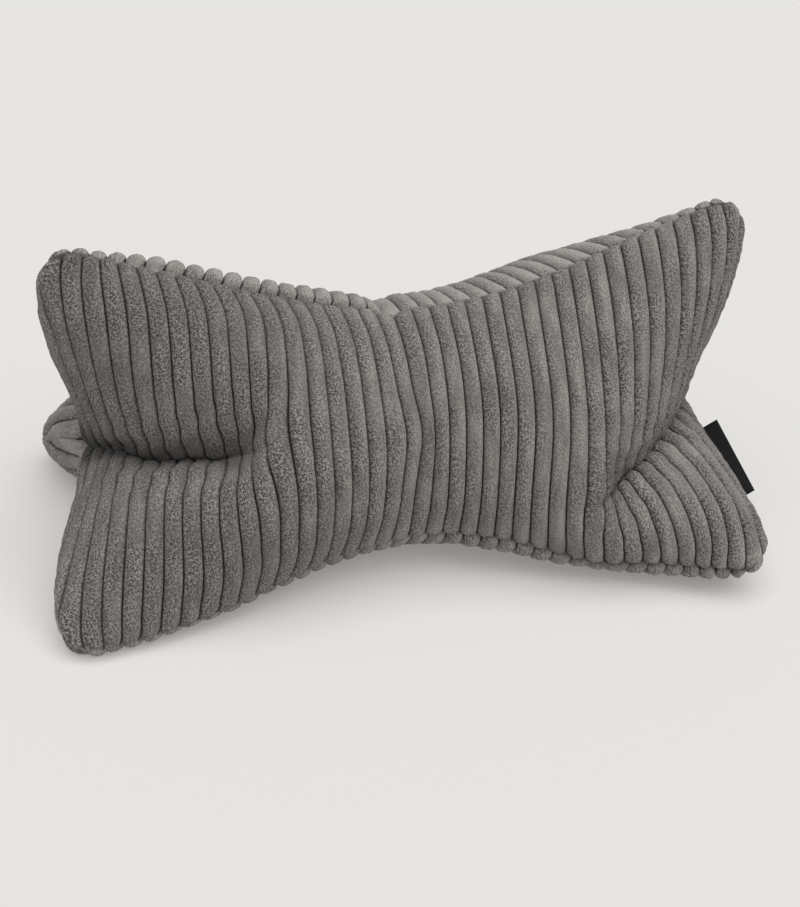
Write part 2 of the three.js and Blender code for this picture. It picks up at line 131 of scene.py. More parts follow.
class Cloth:
    """Three panels on equal grids. A place on a seam is one point of both cloths."""

    def __init__(self, panel, along, across):
        self.panel, self.along, self.across = panel, along, across
        self.S, self.T = np.meshgrid(np.linspace(-1, 1, along + 1), np.linspace(-1, 1, 2 * across + 1), indexing="ij")
        self.P, self.Q = panel.at(self.S, self.T)
        ids = {}
        self.grid = np.zeros((3, along + 1, 2 * across + 1), int)
        for k in range(3):
            for i in range(along + 1):
                e = 0 if i == 0 else 1 if i == along else -1
                for J in range(2 * across + 1):
                    j = J - across
                    seam, far = k if j > 0 else (k + 1) % 3, abs(j) == across
                    if e >= 0:
                        key = ("pole", e) if j == 0 else ("tip", seam, e) if far else ("end", seam, e, abs(j))
                    else:
                        key = ("side", seam, i) if far else ("in", k, i, J)
                    self.grid[k, i, J] = ids.setdefault(key, len(ids))
        self.ids, self.count = ids, len(ids)
        self.quads = np.concatenate([np.stack([g[:-1, :-1], g[:-1, 1:], g[1:, 1:], g[1:, :-1]], -1).reshape(-1, 4) for g in self.grid])
        self.tris = np.concatenate([self.quads[:, [0, 1, 2]], self.quads[:, [0, 2, 3]]])
        self.mean_area = 3 * np.abs((self.P[1:, :-1] - self.P[:-1, :-1]) * (self.Q[:-1, 1:] - self.Q[:-1, :-1])).sum() / self.count

    def links(self, di, dj):
        """Pairs of points that many cells apart, with flat length, panel and middle."""
        a = (slice(0, self.along + 1 - di), slice(max(-dj, 0), 2 * self.across + 1 - max(dj, 0)))
        b = (slice(di, None), slice(max(dj, 0), 2 * self.across + 1 - max(-dj, 0)))
        E = np.sort(np.concatenate([np.stack([g[a].ravel(), g[b].ravel()], 1) for g in self.grid]), 1)
        R = np.tile(np.hypot(self.P[a] - self.P[b], self.Q[a] - self.Q[b]).ravel(), 3)
        K = np.stack([np.repeat(np.arange(3), self.P[a].size), np.tile(((self.P[a] + self.P[b]) / 2).ravel(), 3), np.tile(((self.Q[a] + self.Q[b]) / 2).ravel(), 3)], 1)
        _, first, back = np.unique(E[:, 0].astype(np.int64) * self.count + E[:, 1], return_index=True, return_inverse=True)
        return E[first], np.bincount(back, R) / np.bincount(back), K[first]

    def groups(self, E):
        """Links that share no point are worked together."""
        used, out = [0] * self.count, []
        for e, (a, b) in enumerate(E.tolist()):
            taken, c = used[a] | used[b], 0
            while taken >> c & 1:
                c += 1
            used[a] |= 1 << c
            used[b] |= 1 << c
            if c == len(out):
                out.append([])
            out[c].append(e)
        return [np.array(c) for c in out]

    def first_form(self, half_length, open_mm=14.0):
        """A three-sided tube at the waist that runs out into a flat three-armed star at each end."""
        a = np.radians(SEAM_DEG)
        d = np.stack([np.cos(a), np.sin(a)], 1)
        x = np.zeros((self.count, 3))
        w = smooth((np.abs(self.P) - 0.35 * half_length) / (0.65 * half_length))
        H = np.broadcast_to(np.abs(self.Q[:, -1:]), self.Q.shape)
        shut = np.clip((1 - np.abs(self.S[:, :1])) * 7, 0, 1)
        for k in range(3):
            for J, seam, other in ((slice(self.across, None), k, (k + 1) % 3), (slice(None, self.across + 1), (k + 1) % 3, k)):
                q, h = np.abs(self.Q[:, J]), H[:, J]
                f = (1 + q / h) / 2
                tube = (d[seam] * f[..., None] + d[other] * (1 - f)[..., None]) * (h * 2 / np.sqrt(3))[..., None]
                out = d[other] - d[seam] * (d[other] @ d[seam])
                out = out / np.linalg.norm(out)
                star = d[seam] * q[..., None] + out * (open_mm * np.sin(np.pi * q / h) * shut)[..., None]
                ww, g = w[:, J][..., None], self.grid[k][:, J]
                x[g, 0] = self.P[:, J] * 0.97
                x[g, 1:] = tube * (1 - ww) + star * ww
        return x

    def area_vectors(self, x):
        t = self.tris
        n = np.cross(x[t[:, 1]] - x[t[:, 0]], x[t[:, 2]] - x[t[:, 0]]) / 6
        volume = np.einsum("ij,ij->", x[t[:, 0]], n)
        return np.stack([np.bincount(t.T.ravel(), np.tile(n[:, c], 3), self.count) for c in range(3)], 1), volume


# ------------------------------------------------------------------ filling the cloth

def fold_planes(cloth, fade_power, draw_scale):
    PP, QQ, K = np.zeros(cloth.count), np.zeros(cloth.count), np.full(cloth.count, -1)
    for k in range(3):
        g = cloth.grid[k][1:-1, 1:-1]
        PP[g], QQ[g], K[g] = cloth.P[1:-1, 1:-1], cloth.Q[1:-1, 1:-1], k
    out = []
    for k, end, reach, drift, face, dip, draw, gap in FOLDS:
        pole = cloth.ids[("pole", 0 if end < 0 else 1)]
        sel = np.nonzero((K == k) & (np.sign(PP) == end))[0]
        u = (cloth.panel.middle_end - np.abs(PP[sel])) / reach
        dq = QQ[sel] - drift * np.clip(u, 0, 1)
        fade = np.clip(1 - u, 0, 1) ** fade_power
        f, dp, a = np.radians(face), np.radians(dip), np.radians(SEAM_DEG[k])
        o, dk = np.array([0, np.cos(f), np.sin(f)]), np.array([0, np.cos(a), np.sin(a)])
        side = dk - o * (dk @ o)
        side = side / np.linalg.norm(side)
        n = np.cross(o, np.array([-end * np.cos(dp), 0, 0]) + side * np.sin(dp))
        n = n / np.linalg.norm(n)
        if n @ dk < 0:
            n = -n
        out.append((pole, sel, np.sign(dq), np.minimum(gap, 0.6 * np.abs(dq)), fade, n, o, draw * draw_scale * np.exp(-(dq / 7) ** 2) * fade))
    return out


def give(cloth, K, half, tail=10.0):
    """How stiff the cloth is at a place: it bends freely across a fold."""
    f = np.ones(len(K))
    for k, end, reach, drift, *_ in FOLDS:
        u = (cloth.panel.middle_end - np.abs(K[:, 1])) / reach
        near = 1 - smooth((np.abs(K[:, 2] - drift * np.clip(u, 0, 1)) - half) / tail)
        f *= np.where((K[:, 0] == k) & (np.sign(K[:, 1]) == end) & (u < 1), 1 - 0.98 * near * smooth((1 - u) / 0.25), 1.0)
    return f


def settle(cloth, x, stage, steps, weight, floor):
    """The cloth swells until it holds the filling, and with a floor it settles under its weight.
    Across the wales it can be squeezed a little, because the wales close up."""
    threads, ties = [], []
    for di, dj, low in ((1, 0, SETTLE["slack_p"]), (0, 1, 1.0), (1, 1, SETTLE["slack_d"]), (1, -1, SETTLE["slack_d"])):
        E, R, _ = cloth.links(di, dj)
        threads += [(E[g, 0], E[g, 1], R[g], R[g] * low) for g in cloth.groups(E)]
    for n, half in stage["spans"]:
        for di, dj, low in ((n, 0, SETTLE["slack_p"]), (0, n, 1.0)):
            E, R, K = cloth.links(di, dj)
            f = give(cloth, K, half) * stage["bend"] * 0.5
            ties += [(E[g, 0], E[g, 1], R[g] * low, f[g]) for g in cloth.groups(E)]
    folds = fold_planes(cloth, stage["fade"], stage["draw"])
    target, v = SETTLE["litres"] * 1e6, np.zeros_like(x)
    for _ in range(steps):
        n, volume = cloth.area_vectors(x)
        v = v * SETTLE["damping"] + n * (SETTLE["push"] * np.clip((target - volume) / target * 12, -1.5, 1.0) * 0.05 / cloth.mean_area)
        v[:, 2] -= weight
        for f in folds:
            v[f[1]] -= f[6] * f[7][:, None]
        before = x
        x = x + v
        for _ in range(2):
            for a, b, most, least in threads:
                d = x[b] - x[a]
                l = np.sqrt(np.einsum("ij,ij->i", d, d)) + 1e-9
                d *= ((l - np.clip(l, least, most)) / l * 0.5)[:, None]
                x[a] += d
                x[b] -= d
            for a, b, rest, f in ties:
                d = x[b] - x[a]
                l = np.sqrt(np.einsum("ij,ij->i", d, d)) + 1e-9
                d *= (np.minimum(l - rest, 0) / l * f)[:, None]
                x[a] += d
                x[b] -= d
            for pole, sel, sign, need, fade, n, o, w in folds:
                gap = ((x[sel] - x[pole]) @ n) * sign
                x[sel] += n * (np.maximum(need - gap, 0) * sign * fade * 0.5)[:, None]
            if floor is not None:
                m = x[:, 2] < floor
                x[m, 2] = floor[m]
                x[m, :2] = before[m, :2] * SETTLE["grip"] + x[m, :2] * (1 - SETTLE["grip"])
        v = x - before
        v *= np.minimum(1, 4 / np.maximum(np.sqrt(np.einsum("ij,ij->i", v, v)), 1e-9))[:, None]
    return x


def floor_under(cloth):
    """How low each point can lie. At the right the base seams stay clear, on the ends of the wales."""
    floor = np.full(cloth.count, CLOTH["thickness"])
    for k, J in ((0, 0), (1, -1), (1, 0), (2, -1)):
        floor[cloth.grid[k][:, J]] += CLOTH["seam_rise"] * smooth((cloth.P[:, J] + 20) / 60)
    return floor


def halve(G, axis):
    """Twice the cells: new points lie on smooth curves through the old ones."""
    G = np.moveaxis(G, axis, 0)
    H = np.concatenate([3 * G[:1] - 3 * G[1:2] + G[2:3], G, 3 * G[-1:] - 3 * G[-2:-1] + G[-3:-2]])
    out = np.empty((2 * len(G) - 1,) + G.shape[1:])
    out[::2], out[1::2] = G, (9 * (H[1:-2] + H[2:-1]) - H[:-3] - H[3:]) / 16
    return np.moveaxis(out, 0, axis)


def sample(G, u, v):
    """A smooth surface through a grid of points, read at grid coordinates u, v."""
    n, m = G.shape[:2]
    H = np.concatenate([2 * G[:1] - G[1:2], G, 2 * G[-1:] - G[-2:-1]], 0)
    H = np.concatenate([2 * H[:, :1] - H[:, 1:2], H, 2 * H[:, -1:] - H[:, -2:-1]], 1)

    def weights(f):
        return np.stack([(1 - f) ** 3, 3 * f ** 3 - 6 * f ** 2 + 4, -3 * f ** 3 + 3 * f ** 2 + 3 * f + 1, f ** 3], -1) / 6

    i = np.clip(np.floor(u).astype(int), 0, n - 2)
    j = np.clip(np.floor(v).astype(int), 0, m - 2)
    wu, wv, out = weights(u - i), weights(v - j), 0
    for a in range(4):
        for b in range(4):
            out = out + H[i + a, j + b] * (wu[..., a] * wv[..., b])[..., None]
    return out


def gather(cloth, per_panel):
    """Values of the three grids brought to the shared points; a seam takes the mean."""
    total, n = np.zeros((cloth.count,) + per_panel.shape[3:]), np.zeros(cloth.count)
    for k in range(3):
        g = cloth.grid[k].ravel()
        np.add.at(total, g, per_panel[k].reshape((-1,) + per_panel.shape[3:]))
        n += np.bincount(g, minlength=cloth.count)
    return total / n.reshape((-1,) + (1,) * (total.ndim - 1))


def on_grid(cloth, x, S, T):
    v = (T + 1) * cloth.across
    return np.stack([sample(x[cloth.grid[k]], (S[k] + 1) / 2 * cloth.along, v) for k in range(3)])


panel = Panel(**PANEL)
rough = Cloth(panel, ROUGH["along"], ROUGH["across"])
x = rough.first_form(PANEL["half_length"])
x = settle(rough, x, ROUGH, ROUGH["fill_steps"], 0.0, None)
x[:, 2] += CLOTH["thickness"] - x[:, 2].min()
x = settle(rough, x, ROUGH, ROUGH["rest_steps"], SETTLE["weight"], floor_under(rough))
cloth = Cloth(panel, FINE["along"], FINE["across"])
x = gather(cloth, np.stack([halve(halve(x[g], 1), 0) for g in rough.grid]))
x = settle(cloth, x, FINE, FINE["rest_steps"], SETTLE["weight"], floor_under(cloth))

# the same place as the solid: the middle of its outer face over the middle of the node
n, _ = cloth.area_vectors(x)
outer = (x + n / np.linalg.norm(n, axis=1)[:, None] * CLOTH["thickness"])[np.unique(cloth.grid[:, ::2, ::2])]
node_lo, node_hi = (np.array(c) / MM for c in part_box("pillow_body"))
shift = np.append((node_lo + node_hi)[:2] / 2 - (outer[:, :2].min(0) + outer[:, :2].max(0)) / 2, 0.0)

x = x + shift


# ------------------------------------------------------------------ the cover with its wales

def wave(a, b, seed):
    """A gentle uneven ripple of about one, from a few fixed sines."""
    rng = np.random.default_rng(seed)
    out = 0.0
    for _ in range(7):
        fa, fb, ph = rng.normal(0, 1), rng.normal(0, 1), rng.uniform(0, 2 * np.pi)
        out = out + np.sin(a * fa + b * fb + ph)
    return out / 2.6


step = WALE["pitch"] / WALE["samples"]
half = int(COVER["straight_p"] / step)
straight = np.arange(-half, half + 1) * step
rows = np.concatenate([np.linspace(0, 1 - COVER["seam_share"], COVER["rows"] - COVER["seam_rows"] + 1),
                       1 - COVER["seam_share"] * (1 - np.linspace(0, 1, COVER["seam_rows"] + 1)[1:]) ** 1.35])
T1 = np.concatenate([-rows[:0:-1], rows])
reach = panel.end(np.abs(T1) * panel.corner_q)
inner = straight[-1]
into_end = np.linspace(0, 1, COVER["end_columns"] + 1)[1:]
tail = inner + (reach[None, :] - inner) * into_end[:, None]
P_rows = np.concatenate([-tail[::-1], np.repeat(straight[:, None], len(T1), 1), tail])
S = P_rows / reach[None, :]
T = np.broadcast_to(T1[None, :], S.shape)
cover = Cloth(panel, S.shape[0] - 1, COVER["rows"])
P, Q = panel.at(S, T)


def to_edge(P, Q):
    return np.maximum(np.minimum((panel.side(P) - np.abs(Q)) * 0.93, panel.end(Q) - np.abs(P)), 0)


# away from the seams the columns crowd at the grooves between the wales
away = smooth(to_edge(P, Q) / 9)
turn = [2 * np.pi * (P - phase) / WALE["pitch"] for phase in WALE["phase"]]
P = np.stack([P - WALE["crowd"] * WALE["pitch"] / (2 * np.pi) * np.sin(a) * away for a in turn])
edge = to_edge(P, Q)

# the wales wander a little, and not at the seams
wander = np.stack([wave(P[k] / 60, Q / 38, 11 + k) * 0.5 + wave(P[k] / 16, Q / 13, 21 + k) * 0.2 for k in range(3)])
wander *= smooth(edge / 14)
gathers = np.zeros_like(P)
trough_p = -9 + 4 * Q / panel.narrow
wander[2] += 5.0 * np.exp(-((P[2] + 12) / 15) ** 2 - ((Q - 6) / 20) ** 2)

# round the left fold the cloth of the front is drawn towards its end, so that the wales run straighter
drawn = np.zeros_like(P)
for k, end, reach_f, drift, *_ in FOLDS[:2]:
    u = (panel.middle_end - np.abs(P[k])) / reach_f
    beside = (Q - drift * np.clip(u, 0, 1)) / 26
    near = beside * np.exp(0.5 - beside ** 2) * smooth(u / 0.25) * smooth((1.25 - u) / 0.5) * (np.sign(P[k]) == end)
    wander[k] += 1.0 * near * np.sin(2 * np.pi * (Q / 17 + P[k] / 90))
    gathers[k] += 0.8 * near * np.sin(2 * np.pi * (Q / 13 + P[k] / 60))
drawn[2] = -11.0 * np.exp(-(Q / 62) ** 2) * smooth((-P[2] - 5) / 115) * smooth(edge[2] / 40)

X = on_grid(cloth, x, (P + drawn) / reach, T)
dP = np.gradient(X, axis=1) / np.maximum(np.gradient(P, axis=1), 1e-3)[..., None]
X = X + dP * wander[..., None]

face = np.cross(X[:, 1:, 1:] - X[:, :-1, :-1], X[:, 1:, :-1] - X[:, :-1, 1:])
normal = np.zeros_like(X)
for a, b in ((0, 0), (1, 0), (0, 1), (1, 1)):
    normal[:, a:X.shape[1] - 1 + a, b:X.shape[2] - 1 + b] += face
normal /= np.linalg.norm(normal, axis=-1, keepdims=True) + 1e-12

# the ends of the wales bulge out over the seam
dQ = np.gradient(X, axis=2) / np.maximum(np.gradient(Q, axis=1), 1e-3)[None, ..., None]
near_side, near_end = np.exp(-(panel.side(P) - np.abs(Q)) / 3), np.exp(-np.maximum(panel.end(Q) - np.abs(P), 0) / 3)
over = dQ * (np.sign(Q) * near_side)[..., None] + dP * (np.sign(P) * near_end)[..., None]
over /= np.linalg.norm(over, axis=-1, keepdims=True) + 1e-9

# at the waist the top seam dips in one place
for k, half_side in ((0, Q > 0), (2, Q < 0)):
    deep, back = (8.0, 40) if k == 0 else (4.5, 18)
    X[k, ..., 2] -= deep * np.exp(-((P[k] + 12) / 10) ** 2 - (edge[k] / back) ** 2) * half_side
    if k == 0:
        X[k, ..., 2] -= 3.0 * smooth((-P[k] - 165) / 35) * np.exp(-(edge[k] / 30) ** 2) * np.minimum(edge[k] / 4, 1) * half_side

# the upper left lobe sags over the outer part of its fold
X[2, ..., 2] -= (7.0 * np.exp(-((P[2] + 181) / 18) ** 2) - 2.0 * np.exp(-((P[2] + 118) / 15) ** 2)) * np.exp(-(Q / 26) ** 2)

# beside a fold the cloth swells until its two sides touch
fold_near, shoulder, crease, fold_shade = np.zeros_like(P), np.zeros_like(P), np.zeros_like(P), np.zeros_like(P)
for k, end, reach_f, drift, *_ in FOLDS:
    u = (panel.middle_end - np.abs(P[k])) / reach_f
    dq = Q - drift * np.clip(u, 0, 1)
    u = u / 1.13
    beside = np.abs(dq) / 11
    shoulder[k] += np.where(dq < 0, 7.2, 5.6) * beside * np.exp(1 - beside) * np.clip(1.05 - u, 0, 1) ** 0.5 * (np.sign(P[k]) == end)
    # crease marks the line of each fold and the next mask the cloth beside it; both are used for painted shade in the
    # material
    crease[k] = np.maximum(crease[k], np.exp(-(dq / 6.5) ** 2) * np.clip(1 - u, 0, 1) ** 0.3 * (np.sign(P[k]) == end))
    fold_shade[k] = np.maximum(fold_shade[k], (1.0 if end < 0 else 0.6) * np.exp(-(np.maximum(np.abs(dq) - 13, 0) / np.where(dq < 0, 14, 9)) ** 2) * np.clip(1 - u, 0, 1) ** 0.45 * (np.sign(P[k]) == end))
    fold_near[k] = np.maximum(fold_near[k], np.exp(-(dq / 8) ** 2) * np.clip(1 - u, 0, 1) ** 0.5 * (np.sign(P[k]) == end))

lift, ridge, bulge, flank = np.zeros_like(P), np.zeros_like(P), np.zeros_like(P), np.zeros_like(P)
tufts = np.random.default_rng(7).normal(0, 1, P.shape)
for k in range(3):
    f = (P[k] - WALE["phase"][k]) / WALE["pitch"] % 1.0
    flank[k] = f - 0.5
    capped = np.maximum(WALE["end_round"] - edge[k], 0) / WALE["end_round"]
    flush = smooth((20 - P[k]) / 60) * ((Q > 0) if k == 2 else (Q < 0) if k == 1 else 0 * Q)
    capped = capped * (1 - 0.8 * flush)
    rho = np.minimum(np.hypot(np.abs(f - 0.5) * 2, capped), 1)
    ridge[k] = (1 - rho ** (2.0 + 3.0 * smooth((edge[k] - 6) / 40 if k == 0 else edge[k] / 26))) ** 0.50
    tall = WALE["ridge"] * (1 + 0.05 * wave(P[k] / 9, Q / 40, 31 + k) + 0.03 * wave(P[k] / 5, Q / 6, 41 + k)) + 0.22 * tufts[k]
    if k == 0:
        tall = tall + 0.6 * np.exp(-(edge[k] / 22) ** 2) * smooth((30 - P[k]) / 60) * smooth((P[k] + 215) / 60) * (Q > 0)
    rim = np.sqrt(1 - (1 - np.minimum(edge[k] / 3.6, 1)) ** 2)
    kept = 0.24 + 0.14 * np.exp(-(P[k] / 95) ** 4) + 0.40 * near_end[k] / (near_end[k] + near_side[k])
    bulge[k] = WALE["overhang"] * np.sin(np.pi * np.minimum(edge[k] / 8, 1) ** 0.7) * (0.25 + 0.75 * ridge[k])
    bulge[k] += 1.6 * np.exp(-edge[k] / 5) * near_end[k] / (near_end[k] + near_side[k])
    kept = kept + (0.85 - kept) * flush
    low = WALE["valley"] + (1.6 + 1.2 * flush) * np.exp(-(edge[k] / 8) ** 2)
    lift[k] = (low + (tall - low) * ridge[k]) * (kept + (1 - kept) * rim) * (1 - 0.15 * fold_near[k])

# a slack place at the waist, the full rear cloth behind the top seam and the round rear lobe at the left
shoulder += gathers
shoulder[2] -= 4.5 * np.exp(-((P[2] - trough_p) / 9) ** 2) * smooth(edge[2] / 30)
shoulder[0] += 4.6 * np.exp(-(edge[0] / 20) ** 2) * (Q > 0) * np.minimum(edge[0] / 3, 1) * smooth((10 - P[0]) / 45) * smooth((P[0] + 225) / 90)

# at the right the ends of the base wales show below the front seam
band = 7.5 * np.sin(np.pi * np.minimum(edge[1] / 15, 1) ** 0.75) * (0.45 + 0.55 * ridge[1]) * (Q < 0) * smooth((P[1] + 10) / 60) * smooth((215 - P[1]) / 40)
X[1] += band[..., None] * np.array([0.0, -1.0, -0.1])

# the lobe with the label is drawn a little to the front
for k, half_side in ((1, Q < 0), (2, Q > 0)):
    pulled = smooth((P[k] - 80) / 130) * smooth((np.abs(Q) - 30) / 90) * half_side
    X[k] += pulled[..., None] * np.array([-3.0, -9.0, 0.0])

for k, half_side in ((0, Q < 0), (1, Q > 0)):
    lobe = smooth((-P[k] - 140) / 50) * smooth((np.abs(Q) - 45) / 40) * half_side
    shoulder[k] += 3.0 * lobe * smooth(edge[k] / 12)
    bulge[k] += 2.6 * lobe * np.exp(-edge[k] / 8)

skin = gather(cover, X + normal * (lift + shoulder)[..., None] + over * bulge[..., None])
skin[:, 2] -= skin[:, 2].min() + CLOTH["seat"]
# where it lies the pile is pressed flat
skin[:, 2] = np.where(skin[:, 2] < 0.9, np.maximum(skin[:, 2], 0) * 0.6 + 0.06 * np.clip(skin[:, 2], 0, 0.9), skin[:, 2])
skin[:, 2] = np.maximum(skin[:, 2], 0.0)


def make_object(name, points, faces, material):
    mesh = bpy.data.meshes.new(name)
    mesh.from_pydata((np.asarray(points) * MM).tolist(), [], [list(map(int, f)) for f in faces])
    mesh.update()
    mesh.polygons.foreach_set("use_smooth", [True] * len(mesh.polygons))
    obj = bpy.data.objects.new(name, mesh)
    bpy.context.scene.collection.objects.link(obj)
    mesh.materials.append(material)
    return obj


# ------------------------------------------------------------------ materials

class Nodes:
    """A short way to write a node tree."""

    def __init__(self, material):
        material.use_nodes = True
        self.tree = material.node_tree
        self.tree.nodes.clear()

    def add(self, kind, inputs=None, **settings):
        node = self.tree.nodes.new(kind)
        for key, value in settings.items():
            setattr(node, key, value)
        for key, value in (inputs or {}).items():
            socket = node.inputs[key]
            if isinstance(value, bpy.types.NodeSocket):
                self.tree.links.new(value, socket)
            else:
                socket.default_value = value
        return node

    def math(self, operation, a, b=0.0, clamp=False):
        node = self.add("ShaderNodeMath", {0: a, 1: b}, operation=operation, use_clamp=clamp)
        return node.outputs[0]

    def span(self, value, lo, hi, to_lo=0.0, to_hi=1.0):
        node = self.add("ShaderNodeMapRange", {"Value": value, "From Min": lo, "From Max": hi, "To Min": to_lo, "To Max": to_hi}, clamp=True)
        return node.outputs[0]

    def mix(self, factor, a, b):
        node = self.add("ShaderNodeMix", data_type="RGBA")
        for key, value in ((0, factor), (6, a), (7, b)):
            if isinstance(value, bpy.types.NodeSocket):
                self.tree.links.new(value, node.inputs[key])
            else:
                node.inputs[key].default_value = value
        return node.outputs[2]


def corduroy():
    m = bpy.data.materials.new("corduroy")
    t = Nodes(m)
    place = t.add("ShaderNodeUVMap", uv_map="cloth_mm").outputs[0]
    groove_and_crease_shade = t.add("ShaderNodeAttribute", attribute_name="wale").outputs["Fac"]

    # tufts of the pile, about a millimetre across, lie in short rows; single fibres in them
    combed = t.add("ShaderNodeMapping", {"Vector": place, "Rotation": (0, 0, 0.35), "Scale": (0.62, 1.0, 1.0)}).outputs[0]
    tufts = t.add("ShaderNodeTexNoise", {"Vector": combed, "Scale": 1.45, "Detail": 1.5, "Roughness": 0.6, "Distortion": 0.4}, noise_dimensions="2D").outputs[0]
    gaps = t.add("ShaderNodeTexVoronoi", {"Vector": t.add("ShaderNodeMapping", {"Vector": place, "Rotation": (0, 0, 0.25), "Scale": (1.0, 0.74, 1.0)}).outputs[0], "Scale": 0.66, "Randomness": 1.0}, voronoi_dimensions="2D", feature="F1").outputs["Distance"]
    fibres = t.add("ShaderNodeTexNoise", {"Vector": place, "Scale": 2.6, "Detail": 2.0, "Roughness": 0.6}, noise_dimensions="2D").outputs[0]
    brushed = t.add("ShaderNodeTexNoise", {"Vector": place, "Scale": 0.030, "Detail": 3.0, "Roughness": 0.55}, noise_dimensions="2D").outputs[0]
    smear = t.add("ShaderNodeTexNoise", {"Vector": t.add("ShaderNodeMapping", {"Vector": place, "Scale": (0.16, 0.04, 1.0)}).outputs[0], "Scale": 1.0, "Detail": 2.0}, noise_dimensions="2D").outputs[0]

    # the pile stands open with dark pits in brushed patches, more on one flank of each wale than on the other; this is
    # partly pile texture and partly painted shade standing in for light from one side
    flank = t.add("ShaderNodeAttribute", attribute_name="flank").outputs["Fac"]
    lively = t.math("MULTIPLY", t.span(brushed, 0.37, 0.57, 0.42, 1.0), t.span(flank, -0.30, 0.40, 1.0, 0.42))
    painted_light_shade = t.add("ShaderNodeAttribute", attribute_name="painted_light_shade").outputs["Fac"]
    # fewer pits where the colour is painted lighter, more where it is painted darker on the left lobes
    lively = t.math("SUBTRACT", lively, t.span(painted_light_shade, 0.0, 1.0, 0.0, 0.35), clamp=True)
    lively = t.math("ADD", lively, t.span(painted_light_shade, 0.0, -0.23, 0.0, 0.25), clamp=True)
    pits = t.math("MULTIPLY", t.math("MAXIMUM", t.span(gaps, 0.44, 0.25), t.span(tufts, 0.50, 0.41, 0.0, 0.80)), lively)
    tips = t.math("MULTIPLY", t.span(tufts, 0.52, 0.63), lively)
    height = t.math("ADD", t.math("MULTIPLY", fibres, 0.3), t.math("ADD", t.math("MULTIPLY", tufts, 1.2), t.span(gaps, 0.10, 0.45, 0.0, 0.55)))

    tone = t.mix(t.span(smear, 0.32, 0.68), (0.262, 0.243, 0.225, 1), (0.420, 0.391, 0.363, 1))
    # painted light: lighter tone on the rear and a little on the base
    tone = t.mix(t.span(painted_light_shade, 0.0, 1.0, 0.0, 0.70), tone, (0.560, 0.525, 0.490, 1))
    # painted shade: darker tone on the left lobes of the front and beside its folds
    tone = t.mix(t.span(painted_light_shade, 0.0, -1.0), tone, (0.045, 0.0415, 0.038, 1))
    tone = t.mix(t.math("MULTIPLY", pits, 0.96), tone, (0.026, 0.024, 0.022, 1))
    tone = t.mix(t.math("MULTIPLY", tips, 0.30), tone, (0.700, 0.660, 0.617, 1))
    tone = t.mix(t.math("MULTIPLY", t.span(fibres, 0.52, 0.30), 0.45), tone, (0.085, 0.077, 0.069, 1))
    # painted shade: one flank of each wale is made darker, as if the light came from the other side
    tone = t.mix(t.span(flank, -0.46, 0.02, 0.30, 0.0), tone, (0.085, 0.078, 0.071, 1))
    # painted shade: darker down in the grooves, in the fold creases and a little on the left lobes of the front
    shut = t.math("SUBTRACT", groove_and_crease_shade, t.span(painted_light_shade, 0.0, -0.23, 0.0, 0.14))
    tone = t.mix(t.span(shut, 0.06, 0.46, 0.88, 0.0), tone, (0.022, 0.020, 0.018, 1))

    # painted shade: deep in the folds of the front the colour is made almost black
    tone = t.mix(t.span(painted_light_shade, -0.45, -1.0, 0.0, 0.94), tone, (0.008, 0.0073, 0.0067, 1))

    # painted shade: the bottom of each groove is drawn as a thin dark line
    turn = t.math("FRACT", t.math("DIVIDE", t.add("ShaderNodeSeparateXYZ", {"Vector": place}).outputs[0], WALE["pitch"]))
    from_groove = t.math("MULTIPLY", t.math("MINIMUM", turn, t.math("SUBTRACT", 1.0, turn)), WALE["pitch"])
    tone = t.mix(t.span(from_groove, 0.20, 0.85, 0.90, 0.0), tone, (0.016, 0.015, 0.013, 1))

    bump = t.add("ShaderNodeBump", {"Strength": 1.0, "Distance": 0.0010, "Height": height}).outputs[0]
    surface = t.add("ShaderNodeBsdfPrincipled", {"Base Color": tone, "Roughness": 0.95, "Specular IOR Level": 0.12, "Sheen Weight": 0.34, "Sheen Roughness": 0.55, "Sheen Tint": (0.80, 0.77, 0.74, 1), "Normal": bump})
    t.add("ShaderNodeOutputMaterial", {"Surface": surface.outputs[0]})
    m.diffuse_color = (0.15, 0.138, 0.127, 1)
    return m


def woven_black():
    m = bpy.data.materials.new("label_weave")
    t = Nodes(m)
    place = t.add("ShaderNodeUVMap", uv_map="tape_mm").outputs[0]
    ribs = t.add("ShaderNodeTexWave", {"Vector": place, "Scale": 0.55, "Distortion": 0.6, "Detail": 1.0, "Detail Scale": 2.0}, wave_type="BANDS", bands_direction="X", wave_profile="SIN").outputs["Fac"]
    picks = t.add("ShaderNodeTexWave", {"Vector": place, "Scale": 0.9, "Distortion": 0.5, "Detail": 1.0, "Detail Scale": 3.0}, wave_type="BANDS", bands_direction="Y", wave_profile="SIN").outputs["Fac"]
    weave = t.math("MULTIPLY", ribs, picks)
    tone = t.mix(weave, (0.0025, 0.0025, 0.0027, 1), (0.0080, 0.0080, 0.0085, 1))
    bump = t.add("ShaderNodeBump", {"Strength": 0.5, "Distance": 0.00012, "Height": weave}).outputs[0]
    surface = t.add("ShaderNodeBsdfPrincipled", {"Base Color": tone, "Roughness": 0.62, "Specular IOR Level": 0.22, "Sheen Weight": 0.02, "Normal": bump})
    t.add("ShaderNodeOutputMaterial", {"Surface": surface.outputs[0]})
    m.diffuse_color = (0.008, 0.008, 0.008, 1)
    return m


def pale_glowing_floor():
    m = bpy.data.materials.new("glowing_floor_paint")
    t = Nodes(m)
    # painted light: the floor also glows a little by itself, which lifts the shadows on it
    surface = t.add("ShaderNodeBsdfPrincipled", {"Base Color": (0.570, 0.560, 0.549, 1), "Roughness": 0.9, "Specular IOR Level": 0.1, "Emission Color": (1.0, 0.982, 0.963, 1), "Emission Strength": 0.218})
    t.add("ShaderNodeOutputMaterial", {"Surface": surface.outputs[0]})
    return m


# ------------------------------------------------------------------ pieces

